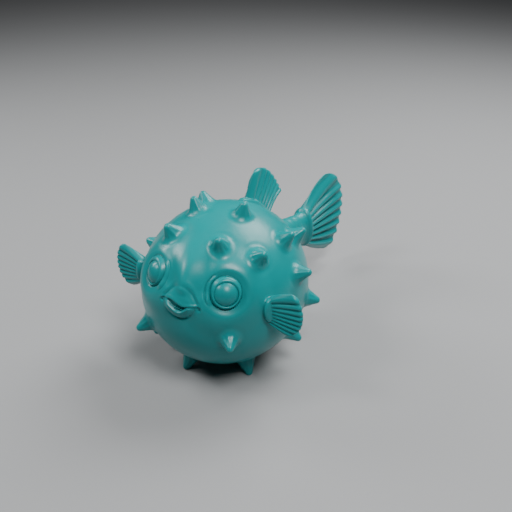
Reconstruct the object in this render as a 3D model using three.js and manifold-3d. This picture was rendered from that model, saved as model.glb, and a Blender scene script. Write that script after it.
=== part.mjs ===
// A desk figurine of a puffed-up pufferfish, cast in one colour, standing on four of its lower spines.
// Millimetres, +Z up. The fish faces -Y and its left side is +X. The origin is on the ground under
// the middle of the figurine. Flesh parts are divided by thin cuts, so each is a closed body.

import * as THREE from 'three';
import { mergeVertices } from 'three/addons/utils/BufferGeometryUtils.js';
import Module from 'manifold-3d';

const wasm = await Module();
wasm.setup();

// ---- driving dimensions ----------------------------------------------------------------------

const R = 36; // nominal radius of the ball-shaped body
const SEMI = new THREE.Vector3(R, 1.07 * R, 0.985 * R); // half width, half length, half height
const GROUND = -1.04 * R; // height of the ground below the ball's centre
const GAP = 0.3; // width of every cut between two neighbours

// The face looks a little to the fish's left, and tilts about its own middle so that the left eye is lower.
const FACE = { turn: 5.5, lift: 16, roll: -4.3 };
const NECK = { offset: 0.6 * R, slope: 0.28 }; // the cut between head and trunk

const SPINE = { base: 0.1 * R, flare: 0.15 * R, tip: 0.042 * R, level: 1.18, root: 0.06 * R, sides: 8 };

const EYE = { radius: 0.175 * R, sink: 0.075 * R };
// Where each eye sits and where it looks, in degrees to the left of the face's middle and up.
const SEAT = { left: [28.4, 26.8], right: [-30, 26] };
const LOOK = { left: [34.5, 26], right: [-37, 18] };
const LID = { ring: 0.158 * R, tube: 0.026 * R, level: 0.03 * R };
const BROW = { radius: 0.6 * R, rise: 0.055 * R };

const MOUTH = { turn: -1.5, lift: 14.5, halfWidth: 0.15 * R, halfHeight: 0.055 * R, depth: 0.12 * R };
const SNOUT = { turn: -1.5, lift: 20.5, halfWidth: 0.2 * R, halfHeight: 0.16 * R, rise: 0.085 * R };
const LOWER_LIP = { ring: 0.115 * R, tube: 0.036 * R, stretch: 1.15, flatten: 0.72, rise: 0.03 * R };
const TEETH = { count: 4, from: 132, to: 48, radius: 0.019 * R, rise: 0.012 * R };

// A fin's root and rim are half widths. The rim's middle is `reach` out, and its front or low corner and its
// rear or top corner are `shoulders` out. An edge bows out where its flare is over 1 and in where it's under.
const CUFF = 0.09 * R; // how far the collar of a fin on the ball stands out
const TAIL_CUFF = 0.13 * R; // length of the tail fin's collar
const DORSAL = {
  root: 0.35 * R, thick: 0.07 * R, rim: 0.46 * R, reach: 0.48 * R, sweep: 0, rays: 7,
  shoulders: [0.17 * R, 0.45 * R], flares: [1.2, -1.5],
};
const ANAL = {
  root: 0.24 * R, thick: 0.065 * R, rim: 0.31 * R, reach: 0.36 * R, sweep: -0.04 * R, rays: 6,
  shoulders: [0.22 * R, 0.22 * R], flares: [1.35, 1.35],
};
const PECTORAL = {
  root: 0.13 * R, thick: 0.07 * R, rim: 0.283 * R, reach: 0.405 * R, sweep: -0.012 * R, rays: 8,
  shoulders: [0.19 * R, 0.26 * R], flares: [1.35, 1.5],
};
const TAIL = {
  root: 0.235 * R, thick: 0.12 * R, rim: 0.635 * R, reach: 1.05 * R, sweep: 0.02 * R, rays: 8,
  shoulders: [0.68 * R, 0.53 * R], flares: [1.35, 1.5],
};

// Where each fin grows from: lifts and bearings on the ball, and the tail fin's own seat behind it.
const DORSAL_LIFT = 43;
const ANAL_LIFT = -30;
const SHOULDER = { bearing: 63, lift: 9, aim: 92, tilt: 16 };
const TAIL_SEAT = { bend: 9, x: 0.05 * R, y: 1.94 * R, z: -0.13 * R };
const PEDUNCLE = { start: 0.72 * R, halfHeight: 0.4 * R, halfWidth: 0.36 * R, rings: 5, ringRise: 0.035 };

// Each spine is [bearing, lift, level]: degrees from straight ahead towards the fish's left, degrees above
// level, and where it differs from SPINE.level, how far out its tip is as a multiple of the ball's surface.
const HEAD_SPINES = [[-34, 54], [29, 55], [36, -8], [-38, -20]];
const TRUNK_SPINES = [
  [-71, 72], [-110, 68, 1.15], [89, 76], [64, 43], [100, 44], [120, 37], [95, 20], [116, -13], [98, -33],
  [-59, -40], [-87, 15], [-126, 12], [-155, 28], [-103, -12], [-140, -14], [-96, -40], [-150, -36],
  [150, -30],
];
const FOOT_SPINES = [[61, -61], [-23, -60], [-126, -60], [150, -60]];

const PLASTIC = { color: 0x1f9a9c, roughness: 0.38, metalness: 0 };

// ---- helpers ---------------------------------------------------------------------------------

const rad = THREE.MathUtils.degToRad;

function bearing(az, el) {
  const a = rad(az);
  const e = rad(el);
  return new THREE.Vector3(Math.cos(e) * Math.sin(a), -Math.cos(e) * Math.cos(a), Math.sin(e));
}

// The point of the ball's surface in a direction, and the surface's outward normal there.
function onBall(az, el, level = 1) {
  return bearing(az, el).multiply(SEMI).multiplyScalar(level);
}

function normalOfBall(az, el) {
  return bearing(az, el).divide(SEMI).normalize();
}

// A frame whose Z axis is `out` and whose Y axis leans as far as it can towards `up`.
function frameAt(origin, out, up) {
  const z = out.clone().normalize();
  const x = new THREE.Vector3().crossVectors(up, z).normalize();
  const y = new THREE.Vector3().crossVectors(z, x);
  return new THREE.Matrix4().makeBasis(x, y, z).setPosition(origin);
}

function solid(geometry) {
  const bare = geometry.index ? geometry.clone() : geometry;
  bare.deleteAttribute('normal');
  bare.deleteAttribute('uv');
  const merged = mergeVertices(bare, 1e-4);
  return new wasm.Manifold(new wasm.Mesh({
    numProp: 3,
    vertProperties: new Float32Array(merged.attributes.position.array),
    triVerts: new Uint32Array(merged.index.array),
  }));
}

function meshOf(name, body) {
  const { vertProperties, triVerts, numProp } = body.getMesh();
  if (numProp !== 3) {
    throw new Error(`${name} carries more than positions`);
  }
  const geometry = new THREE.BufferGeometry();
  geometry.setAttribute('position', new THREE.BufferAttribute(vertProperties, 3));
  geometry.setIndex(new THREE.BufferAttribute(triVerts, 1));
  geometry.computeVertexNormals();
  const mesh = new THREE.Mesh(geometry, new THREE.MeshStandardMaterial({ ...PLASTIC }));
  mesh.name = name;
  return mesh;
}

// A sphere stretched to three half sizes and placed by a matrix.
function ellipsoid(halfX, halfY, halfZ, matrix, around = 14, along = 10) {
  return solid(new THREE.SphereGeometry(1, around, along).scale(halfX, halfY, halfZ).applyMatrix4(matrix));
}

// Moves every vertex of a closed geometry with a function of its unit coordinates.
function remap(geometry, place) {
  const position = geometry.attributes.position;
  const p = new THREE.Vector3();
  for (let i = 0; i < position.count; i += 1) {
    p.fromBufferAttribute(position, i);
    place(p);
    position.setXYZ(i, p.x, p.y, p.z);
  }
  return geometry;
}

function unionOf(bodies) {
  return bodies.reduce((whole, next) => whole.add(next));
}

// A slab on one side of the neck plane y = -offset + slope z, its face moved back by `shift`.
function neckSlab(side, shift) {
  const size = 6 * R;
  const tilt = Math.atan(NECK.slope);
  const slab = new THREE.BoxGeometry(size, size, size).translate(0, side * (size / 2 + shift), 0);
  return solid(slab.rotateX(-tilt).translate(0, -NECK.offset, 0));
}

// ---- spines ----------------------------------------------------------------------------------

// A cone with a flared foot and a round tip, grown along Z, with `grow` added to its radius.
function spineSolid(az, el, level = SPINE.level, grow = 0) {
  const foot = onBall(az, el);
  const height = onBall(az, el, level).distanceTo(foot);
  const profile = [
    [0, -SPINE.root],
    [SPINE.flare, 0],
    [SPINE.base * 0.86, height * 0.2],
    [SPINE.base * 0.52, height * 0.55],
    [SPINE.tip, height * 0.88],
    [0, height],
  ].map(([r, h]) => new THREE.Vector2(r ? r + grow : 0, h + (h === height ? grow : 0)));
  const cone = new THREE.LatheGeometry(profile, SPINE.sides).rotateX(Math.PI / 2);
  const out = bearing(az, el).multiply(SEMI);
  return solid(cone.applyMatrix4(frameAt(foot, out, new THREE.Vector3(0.1, -0.2, 1))));
}

// A foot spine reaches a little past the ground, where it is cut flat.
function footLevel(el) {
  return (-GROUND + 0.5) / (SEMI.z * Math.sin(rad(-el)));
}

// ---- ridged fins -----------------------------------------------------------------------------

// A fan of rounded rays in its own frame: Z runs outwards, Y along the root, X through the fin.
function fanSolid({ root, thick, rim, reach, sweep, rays, shoulders, flares }, start, steps) {
  const across = rays * 2;
  const grid = new THREE.BoxGeometry(1, 1, 1, 1, across, steps);
  return solid(remap(grid, (p) => {
    const side = Math.sign(p.x);
    const v = p.y * 2;
    const u = p.z + 0.5;
    const ridge = Math.abs(Math.sin((Math.PI * rays * (v + 1)) / 2));
    const shoulder = THREE.MathUtils.lerp(...shoulders, p.y + 0.5);
    const out = THREE.MathUtils.lerp(shoulder, reach, Math.sqrt(1 - v * v)) + 0.02 * reach * ridge;
    const end = new THREE.Vector2(out, v * rim + sweep);
    const from = new THREE.Vector2(start, v * root * 0.94);
    const chord = end.clone().sub(from);
    const flare = Math.atan2(chord.y, chord.x) * THREE.MathUtils.lerp(...flares, p.y + 0.5);
    const bend = new THREE.Vector2(Math.cos(flare), Math.sin(flare)).multiplyScalar(chord.length() * 0.55);
    const path = new THREE.QuadraticBezierCurve(from, from.clone().add(bend), end).getPoint(u);
    const taper = THREE.MathUtils.lerp(0.78, 0.36, u);
    const half = Math.max(0.32 * thick * taper + thick * taper * 0.68 * ridge ** 0.7, 0.45);
    p.set(side * half, path.y, path.x);
  }));
}

// The bulged collar at a fin's root: an oval tube closed at both ends.
function cuffSolid({ root, thick, cuff = CUFF, sink = 0.12 * R }) {
  const rings = 4;
  const tube = new THREE.CylinderGeometry(1, 1, 1, 14, rings).rotateX(Math.PI / 2);
  return solid(remap(tube, (p) => {
    const u = p.z + 0.5;
    const z = THREE.MathUtils.lerp(-sink, cuff, u);
    const swell = z > 0 ? 0.1 * Math.sin((Math.PI * z) / cuff) : (-0.28 * z) / (sink || 1);
    const bulge = 1.04 + swell;
    p.set(p.x * thick * bulge, p.y * root * bulge, z);
  }));
}

function finSolid(fin, matrix, steps) {
  const cuff = cuffSolid(fin);
  const fan = fanSolid(fin, (fin.cuff ?? CUFF) * 0.6, steps);
  return cuff.add(fan).transform(matrix.elements);
}

// ---- ball, spines and neck cut ---------------------------------------------------------------

const ballGeometry = new THREE.SphereGeometry(1, 27, 17).scale(SEMI.x, SEMI.y, SEMI.z);
const ball = solid(ballGeometry);
const up = new THREE.Vector3(0, 0, 1);

const spinesOf = (list, grow) => list.map(([az, el, level = SPINE.level]) => spineSolid(az, el, level, grow));
const headSpines = spinesOf(HEAD_SPINES);
const headSpineSpace = spinesOf(HEAD_SPINES, GAP);
const trunkSpines = spinesOf(TRUNK_SPINES);
const trunkSpineSpace = spinesOf(TRUNK_SPINES, GAP);
const footSpines = FOOT_SPINES.map(([az, el]) => spineSolid(az, el, footLevel(el)));

// ---- face ------------------------------------------------------------------------------------

const faceRoll = new THREE.Quaternion().setFromAxisAngle(bearing(FACE.turn, FACE.lift), rad(FACE.roll));
const faceUp = up.clone().applyQuaternion(faceRoll);

// A direction on the face, `turn` degrees to the fish's left of its middle, once the face is tilted.
function faceBearing(turn, lift) {
  return bearing(FACE.turn + turn, lift).applyQuaternion(faceRoll);
}

const eyes = ['left', 'right'].map((side) => {
  const way = faceBearing(...SEAT[side]);
  const out = way.clone().divide(SEMI).normalize();
  return { side, out, seat: way.multiply(SEMI), look: faceBearing(...LOOK[side]) };
});

function eyeball({ seat, look }, grow = 0) {
  const centre = seat.clone().addScaledVector(look, -EYE.sink);
  const r = EYE.radius + grow;
  return ellipsoid(r, r, r, frameAt(centre, look, faceUp), 13, 8);
}

function brow({ seat, out }) {
  const centre = seat.clone().addScaledVector(out, BROW.rise - BROW.radius);
  return ellipsoid(BROW.radius, BROW.radius, BROW.radius, frameAt(centre, out, faceUp), 17, 14);
}

function lidRing({ seat, look }) {
  const ring = new THREE.TorusGeometry(LID.ring, LID.tube, 5, 18);
  return solid(ring.applyMatrix4(frameAt(seat.clone().addScaledVector(look, LID.level), look, faceUp)));
}

// The frame of a feature of the face, standing on the ball with its Y axis up the face.
function faceFrame({ turn, lift }) {
  const out = faceBearing(turn, lift);
  return frameAt(out.clone().multiply(SEMI), out.clone().divide(SEMI), faceUp);
}

const mouthFrame = faceFrame(MOUTH);
const snoutFrame = faceFrame(SNOUT);

function mouthHollow(grow = 0) {
  return ellipsoid(MOUTH.halfWidth + grow, MOUTH.halfHeight + grow, MOUTH.depth + grow, mouthFrame, 14, 8);
}

function snoutDome(grow = 0) {
  const deep = SNOUT.rise * 2 + grow;
  const lift = new THREE.Matrix4().makeTranslation(0, 0, -SNOUT.rise);
  const place = snoutFrame.clone().multiply(lift);
  return ellipsoid(SNOUT.halfWidth + grow, SNOUT.halfHeight + grow, deep, place, 14, 10);
}

// The lower lip is the lower half of a flattened ring, up to the corners of the mouth.
function lowerLip(grow = 0) {
  const ring = new THREE.TorusGeometry(LOWER_LIP.ring, LOWER_LIP.tube + grow, 6, 14);
  const flat = ring.scale(LOWER_LIP.stretch, LOWER_LIP.flatten, 1).translate(0, 0, LOWER_LIP.rise);
  const half = new THREE.BoxGeometry(R, R, R).translate(0, -R / 2 - MOUTH.halfHeight * 0.3 + grow, 0);
  return solid(flat).intersect(solid(half)).transform(mouthFrame.elements);
}

// A row of small blunt teeth stands on the inner edge of the lower lip.
function lowerTeeth(grow = 0) {
  const radius = TEETH.radius + grow;
  const teeth = [];
  for (let i = 0; i < TEETH.count; i += 1) {
    const turn = rad(THREE.MathUtils.lerp(-TEETH.from, -TEETH.to, i / (TEETH.count - 1)));
    const x = LOWER_LIP.ring * LOWER_LIP.stretch * 0.86 * Math.cos(turn);
    const y = LOWER_LIP.ring * LOWER_LIP.flatten * 0.74 * Math.sin(turn);
    const place = mouthFrame.clone().multiply(new THREE.Matrix4().makeTranslation(x, y, TEETH.rise));
    teeth.push(ellipsoid(radius, radius, radius * 1.3, place, 6, 4));
  }
  return unionOf(teeth);
}

const eyeSolids = eyes.map((eye) => eyeball(eye));
const lipLower = lowerLip().add(lowerTeeth());
const lipSpace = lowerLip(GAP).add(lowerTeeth(GAP));
const lipUpper = snoutDome().subtract(mouthHollow(GAP * 2)).subtract(lipSpace);

// ---- fins ------------------------------------------------------------------------------------

const alongBack = new THREE.Vector3(0, 1, 0);
const dorsalOut = normalOfBall(180, DORSAL_LIFT);
const dorsal = finSolid(DORSAL, frameAt(onBall(180, DORSAL_LIFT), dorsalOut, alongBack), 3);
const analOut = normalOfBall(180, ANAL_LIFT);
const anal = finSolid(ANAL, frameAt(onBall(180, ANAL_LIFT), analOut, alongBack), 3);

const pectorals = [['left', 1], ['right', -1]].map(([side, sign]) => {
  const aim = bearing(sign * SHOULDER.aim, 0);
  const lean = up.clone().addScaledVector(new THREE.Vector3(sign, 0, 0), Math.tan(rad(SHOULDER.tilt)));
  const seat = onBall(sign * SHOULDER.bearing, SHOULDER.lift);
  return { side, body: finSolid(PECTORAL, frameAt(seat, aim, lean), 3) };
});

const tailAim = new THREE.Vector3(Math.sin(rad(TAIL_SEAT.bend)), Math.cos(rad(TAIL_SEAT.bend)), 0);
const tailSeat = new THREE.Vector3(TAIL_SEAT.x, TAIL_SEAT.y, TAIL_SEAT.z);
const tailFrame = frameAt(tailSeat.clone().addScaledVector(tailAim, GAP), tailAim, up);
const tailFin = finSolid({ ...TAIL, cuff: TAIL_CUFF, sink: 0 }, tailFrame, 5);

// The peduncle runs back from inside the ball along a gentle bend and narrows to an oval end.
function peduncleSolid(grow = 0) {
  const start = new THREE.Vector3(0, PEDUNCLE.start, -0.06 * R);
  const reach = tailSeat.distanceTo(start);
  const bend = tailSeat.clone().addScaledVector(tailAim, -reach / 2);
  const line = new THREE.QuadraticBezierCurve3(start, bend, tailSeat);
  const tube = new THREE.CylinderGeometry(1, 1, 1, 18, 8).rotateX(Math.PI / 2);
  return solid(remap(tube, (p) => {
    const u = p.z + 0.5;
    const centre = line.getPoint(u);
    const frame = frameAt(centre, line.getTangent(u), up);
    const narrow = (1 - u) ** 1.4;
    const ring = 1 + PEDUNCLE.ringRise * Math.max(0, Math.sin(u * 2 * Math.PI * PEDUNCLE.rings)) * u;
    const halfHeight = THREE.MathUtils.lerp(TAIL.root, PEDUNCLE.halfHeight, narrow) * ring;
    const halfWidth = THREE.MathUtils.lerp(TAIL.thick, PEDUNCLE.halfWidth, narrow) * ring;
    p.set(p.x * (halfWidth + grow), p.y * (halfHeight + grow), 0).applyMatrix4(frame);
  }));
}

// ---- cutting the flesh apart -----------------------------------------------------------------

// Everything inside this larger ball belongs to the trunk or the head, not to fins or tail.
const ballSpace = solid(ballGeometry.clone().scale(1 + GAP / R, 1 + GAP / R, 1 + GAP / R));

const face = unionOf([ball, ...eyes.map(brow), ...eyes.map(lidRing)]);
const headWhole = unionOf([face.intersect(neckSlab(-1, GAP / 2)), ...headSpines]);
const head = [
  ...eyes.map((eye) => eyeball(eye, GAP)),
  ...trunkSpineSpace,
  mouthHollow(),
  snoutDome(GAP),
  lipSpace,
].reduce((body, space) => body.subtract(space), headWhole);

const aboveGround = solid(new THREE.BoxGeometry(8 * R, 8 * R, 8 * R).translate(0, 0, GROUND + 4 * R));
const trunkWhole = unionOf([ball.intersect(neckSlab(1, GAP / 2)), ...trunkSpines, ...footSpines]);
const trunk = headSpineSpace.reduce((body, space) => body.subtract(space), trunkWhole).intersect(aboveGround);

const peduncleSpace = peduncleSolid(GAP);
const peduncleWhole = peduncleSolid().subtract(ballSpace);
const peduncle = trunkSpineSpace.reduce((body, space) => body.subtract(space), peduncleWhole);

// ---- the figurine ----------------------------------------------------------------------------

const figurine = new THREE.Group();
figurine.add(meshOf('head', head));
figurine.add(meshOf('upper_lip', lipUpper));
figurine.add(meshOf('lower_lip', lipLower));
eyeSolids.forEach((body, i) => figurine.add(meshOf(`eye_${eyes[i].side}`, body)));
figurine.add(meshOf('trunk', trunk));
pectorals.forEach(({ side, body }) => figurine.add(meshOf(`pectoral_fin_${side}`, body.subtract(ballSpace))));
figurine.add(meshOf('dorsal_fin', dorsal.subtract(ballSpace).subtract(peduncleSpace)));
figurine.add(meshOf('anal_fin', anal.subtract(ballSpace).subtract(peduncleSpace)));
figurine.add(meshOf('tail_peduncle', peduncle));
figurine.add(meshOf('tail_fin', tailFin));

// The origin is on the ground, under the middle of the figurine's box.
const bounds = new THREE.Box3().setFromObject(figurine);
const middle = bounds.getCenter(new THREE.Vector3());
figurine.position.set(-middle.x, -middle.y, -bounds.min.z);

export default figurine;
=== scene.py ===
"""Visual model of a puffed-up pufferfish figurine, made in one satin teal plastic.

Shapes are modelled in ball space: the middle of the ball-shaped body is the origin and its nominal
radius is 1. The fish faces -Y, its left side is +X and +Z is up. Each finished mesh is then moved to
the row frame, in metres. One skin stands for all the flesh, and the eyeballs and the teeth are pieces
of their own.
"""

import logging
import math
from collections.abc import Callable, Sequence
from dataclasses import dataclass, field
from enum import Enum

import bmesh
import bpy
import numpy as np
from mathutils import Matrix, Quaternion, Vector


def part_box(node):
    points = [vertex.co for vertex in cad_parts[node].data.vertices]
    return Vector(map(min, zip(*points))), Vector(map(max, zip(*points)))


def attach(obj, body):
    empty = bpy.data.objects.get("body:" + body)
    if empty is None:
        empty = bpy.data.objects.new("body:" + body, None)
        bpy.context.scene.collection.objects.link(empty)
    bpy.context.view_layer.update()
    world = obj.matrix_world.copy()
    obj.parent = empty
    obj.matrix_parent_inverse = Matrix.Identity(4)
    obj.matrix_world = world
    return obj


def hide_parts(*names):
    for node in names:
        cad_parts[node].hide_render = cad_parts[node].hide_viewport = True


Array = np.ndarray
BMesh = bmesh.types.BMesh
Piece = bpy.types.Object
Socket = bpy.types.NodeSocket
Pair = tuple[float, float]
Three = tuple[float, float, float]
Four = tuple[float, float, float, float]

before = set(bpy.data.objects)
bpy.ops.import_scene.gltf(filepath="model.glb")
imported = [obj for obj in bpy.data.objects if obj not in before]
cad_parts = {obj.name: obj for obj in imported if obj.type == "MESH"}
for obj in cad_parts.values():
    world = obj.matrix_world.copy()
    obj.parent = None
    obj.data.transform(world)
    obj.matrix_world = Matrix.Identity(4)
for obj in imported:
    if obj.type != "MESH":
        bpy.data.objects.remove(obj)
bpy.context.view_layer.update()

BODY = "root"
UP = Vector((0.0, 0.0, 1.0))
BACK = Vector((0.0, 1.0, 0.0))

log = logging.getLogger("pufferfish")


class Side(Enum):
    """A side of the fish, as the sign of its X."""

    LEFT = 1
    RIGHT = -1


class WideRay(Enum):
    """Which end of a fin's rim has the widest ray, as the sign of its place across the fin."""

    FIRST = -1
    LAST = 1


# ---- small helpers ----


def heading(bearing: float, lift: float) -> Vector:
    """Gives the unit direction at a bearing from straight ahead to the left, and a lift above level."""
    turn, rise = math.radians(bearing), math.radians(lift)
    return Vector((math.cos(rise) * math.sin(turn), -math.cos(rise) * math.cos(turn), math.sin(rise)))


def frame_at(origin: Vector, out: Vector, up: Vector) -> Matrix:
    """Makes a local frame that stands on a surface.

    Args:
        origin: the frame's origin.
        out: the way its Z axis points.
        up: the way its Y axis leans, as far as it can.

    Returns:
        The frame's matrix.
    """
    z = out.normalized()
    x = up.cross(z).normalized()
    y = z.cross(x)
    rows = Matrix((x, y, z)).transposed().to_4x4()
    return Matrix.Translation(origin) @ rows


def into(place: Matrix, points: Array) -> Array:
    """Gives points in a local frame's own coordinates."""
    inverse = np.array(place.inverted())
    return points @ inverse[:3, :3].T + inverse[:3, 3]


def along_z(place: Matrix, amount: Array) -> Array:
    """Gives moves of the given amounts along a local frame's Z axis."""
    return amount[:, None] * np.array(place.to_3x3().col[2])


def mix(one: Array, other: Array, part: Array) -> Array:
    """Goes from one value to another as part goes from 0 to 1."""
    return one + (other - one) * part


def ease(value: Array, low: float, high: float) -> Array:
    """Rises smoothly from 0 at low to 1 at high."""
    part = np.clip((value - low) / (high - low), 0.0, 1.0)
    return part * part * (3.0 - 2.0 * part)


def bump(value: Array, middle: float, width: float) -> Array:
    """Gives a soft bell of height 1 round a middle value."""
    return np.exp(-(((value - middle) / width) ** 2))


def bumps(value: Array, level: float, *bells: Three) -> Array:
    """Adds soft bells to a level, each given as its height, middle and width."""
    return sum((height * bump(value, middle, width) for height, middle, width in bells), level)


def arc(value: Array, power: float) -> Array:
    """Falls from 1 at 0 to 0 at 1 and beyond on both sides, as half an oval of the given power."""
    return np.clip(1.0 - value**2, 0.0, 1.0) ** power


def oval_gap(x: Array, y: Array, half_x: Array, half_y: Array) -> Array:
    """Gives about how far points lie outside an oval."""
    level = np.hypot(x / half_x, y / half_y)
    slope = np.hypot(x / half_x**2, y / half_y**2)
    return level * (level - 1.0) / np.maximum(slope, 1e-9)


def soft_min(one: Array, other: Array, fillet: float) -> Array:
    """Joins two distances with a fillet of about the given width where they meet."""
    part = np.maximum(fillet - np.abs(one - other), 0.0) / fillet
    return np.minimum(one, other) - part * part * fillet * 0.25


def coords_of(bm: BMesh) -> Array:
    """Gives a bmesh's vertex places, one row each."""
    return np.array([vert.co for vert in bm.verts], float)


def move_to(bm: BMesh, points: Array) -> None:
    """Puts a bmesh's vertices at the given places."""
    for vert, point in zip(bm.verts, points):
        vert.co = point


def nearest(points: Array, middles: Sequence[Vector]) -> Array:
    """Gives how far each point is from the nearest of some middles."""
    return np.min([np.linalg.norm(points - np.array(middle), axis=1) for middle in middles], axis=0)


def smooth(bm: BMesh, wanted: Array, factor: float, times: int) -> None:
    """Eases vertices towards the middles of their neighbours.

    Args:
        bm: the mesh.
        wanted: whether each vertex is moved.
        factor: how much of the way it goes each time.
        times: how often it is moved.
    """
    verts = [vert for vert, take in zip(bm.verts, wanted) if take]
    for _ in range(times):
        bmesh.ops.smooth_vert(
            bm, verts=verts, factor=factor, use_axis_x=True, use_axis_y=True, use_axis_z=True)


def add_post(bm: BMesh, segments: int, radii: Pair, depth: float, place: Matrix) -> list:
    """Adds a rough post to a blockout and gives its vertices."""
    return bmesh.ops.create_cone(
        bm, cap_ends=True, segments=segments, radius1=radii[0], radius2=radii[1], depth=depth,
        matrix=place)["verts"]


def object_from(bm: BMesh, name: str) -> Piece:
    """Turns a bmesh into a linked, smooth-shaded object and frees it.

    Args:
        bm: the shape.
        name: the name of the object and its mesh.

    Returns:
        The object, at the origin.
    """
    mesh = bpy.data.meshes.new(name)
    bm.to_mesh(mesh)
    bm.free()
    mesh.shade_smooth()
    piece = bpy.data.objects.new(name, mesh)
    bpy.context.scene.collection.objects.link(piece)
    return piece


def apply_modifiers(piece: Piece) -> None:
    """Replaces an object's mesh with what its modifiers make of it.

    Args:
        piece: the object, which loses its modifiers.
    """
    shown = piece.evaluated_get(bpy.context.evaluated_depsgraph_get())
    mesh = bpy.data.meshes.new_from_object(shown)
    piece.modifiers.clear()
    old = piece.data
    piece.data = mesh
    mesh.name = old.name
    bpy.data.meshes.remove(old)


# ---- the ball and what grows on it ----


@dataclass(frozen=True)
class Ball:
    """The puffed-up body, a slightly long ball."""

    radius: float = 0.036
    half: Three = (1.0, 1.07, 0.985)
    ground: float = -1.04

    def seat(self, way: Vector, level: float = 1.0) -> Vector:
        """Gives the surface point in a direction."""
        return Vector(w * h for w, h in zip(way, self.half)) * level

    def normal(self, way: Vector) -> Vector:
        """Gives the surface's outward normal at that point."""
        return Vector(w / h for w, h in zip(way, self.half)).normalized()

    def gap(self, points: Array) -> Array:
        """Gives about how far points lie outside the ball."""
        half = np.array(self.half)
        level = np.linalg.norm(points / half, axis=1)
        slope = np.linalg.norm(points / half**2, axis=1)
        return level * (level - 1.0) / np.maximum(slope, 1e-9)

    def block(self, bm: BMesh) -> None:
        """Adds the ball's rough shape to a blockout."""
        place = Matrix.Diagonal((*self.half, 1.0))
        bmesh.ops.create_uvsphere(bm, u_segments=64, v_segments=40, radius=1.0, matrix=place)


class Placed:
    """Something that sits on the body in a frame of its own, whose Z axis points out."""

    @property
    def middle(self) -> Vector:
        """The point that its reach is measured from."""
        return self.place.translation


@dataclass(frozen=True)
class Spine(Placed):
    """A blunt fluted cone, pulled out of the ball with a wide fillet at its foot."""

    ball: Ball
    bearing: float
    lift: float
    level: float = 1.18
    foot: float = 0.116
    tip: float = 0.046
    sink: float = 0.03
    fillet: float = 0.06
    flutes: int = 9
    flute_depth: float = 0.004
    flute_low: float = 0.8
    moat: float = 0.0018
    moat_rings: tuple = ((1.0, 1.42, 0.016), (-0.7, 1.8, 0.025))
    moat_reach: float = 0.3
    reach: float = 0.5

    @property
    def place(self) -> Matrix:
        """The frame on the ball that the spine grows along."""
        way = heading(self.bearing, self.lift)
        seat = self.ball.seat(way)
        return frame_at(seat, seat, Vector((0.1, -0.2, 1.0)))

    @property
    def height(self) -> float:
        """How far the tip stands out of the ball."""
        way = heading(self.bearing, self.lift)
        return (self.ball.seat(way, self.level) - self.ball.seat(way)).length

    def gap(self, points: Array) -> Array:
        """Gives how far points lie outside a cone that ends in a ball, with shallow flutes.

        Args:
            points: places in ball space.

        Returns:
            Distances, negative inside.
        """
        x, y, z = into(self.place, points).T
        top = self.height - self.tip
        waves = np.cos(self.flutes * np.arctan2(y, x))
        waves = waves * np.sin(math.pi * np.clip(z / top, 0.0, 1.0) ** self.flute_low)
        out = np.hypot(x, y) + self.flute_depth * waves
        along = z + self.sink
        length = top + self.sink
        slope = (self.foot - self.tip) / length
        side = math.sqrt(1.0 - slope * slope)
        where = along * side - out * slope
        cone = out * side + along * slope - self.foot
        low = np.hypot(out, along) - self.foot
        high = np.hypot(out, along - length) - self.tip
        return np.where(where < 0.0, low, np.where(where > side * length, high, cone))

    def ring(self, points: Array) -> Array:
        """Gives how deep the faint ring round the spine's foot is at each point."""
        x, y, _ = into(self.place, points).T
        out = np.hypot(x, y)
        return self.moat * bumps(out, 0.0, *((h, self.foot * m, w) for h, m, w in self.moat_rings))

    def block(self, bm: BMesh) -> None:
        """Adds the spine's rough cone to a blockout."""
        depth = self.height + self.sink
        lift = Matrix.Translation((0.0, 0.0, depth / 2 - self.sink))
        add_post(bm, 16, (self.foot * 1.25, self.tip * 0.9), depth, self.place @ lift)


@dataclass(frozen=True)
class Collar(Placed):
    """The swollen oval root that a fin stands in."""

    place: Matrix
    half_x: float
    half_y: float
    out: float
    sink: float
    droop: float
    fillet: float = 0.035
    swell: float = 0.16
    round_top: float = 0.06
    rough: float = 1.08

    @property
    def reach(self) -> float:
        """How far from its middle the collar can change the surface."""
        return self.half_y + self.out + 0.3

    def gap(self, points: Array) -> Array:
        """Gives about how far points lie outside the collar.

        Args:
            points: places in ball space.

        Returns:
            Distances, negative inside.
        """
        x, y, z = into(self.place, points).T
        z = z + self.droop * y**2
        bulge = 1.0 + self.swell * np.sin(math.pi * np.clip(z / self.out, 0.0, 1.0))
        ring = oval_gap(x, y, self.half_x * bulge, self.half_y * bulge)
        beyond = np.abs(z - (self.out - self.sink) / 2.0) - (self.out + self.sink) / 2.0
        return -soft_min(-ring, -beyond, self.round_top)

    def block(self, bm: BMesh) -> None:
        """Adds the collar's rough post to a blockout."""
        depth = self.out + self.sink
        oval = Matrix.Diagonal((self.half_x * self.rough, self.half_y * self.rough, 1.0, 1.0))
        shape = Matrix.Translation((0.0, 0.0, depth / 2 - self.sink)) @ oval
        add_post(bm, 32, (1.0, 0.95), depth, self.place @ shape)


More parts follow.
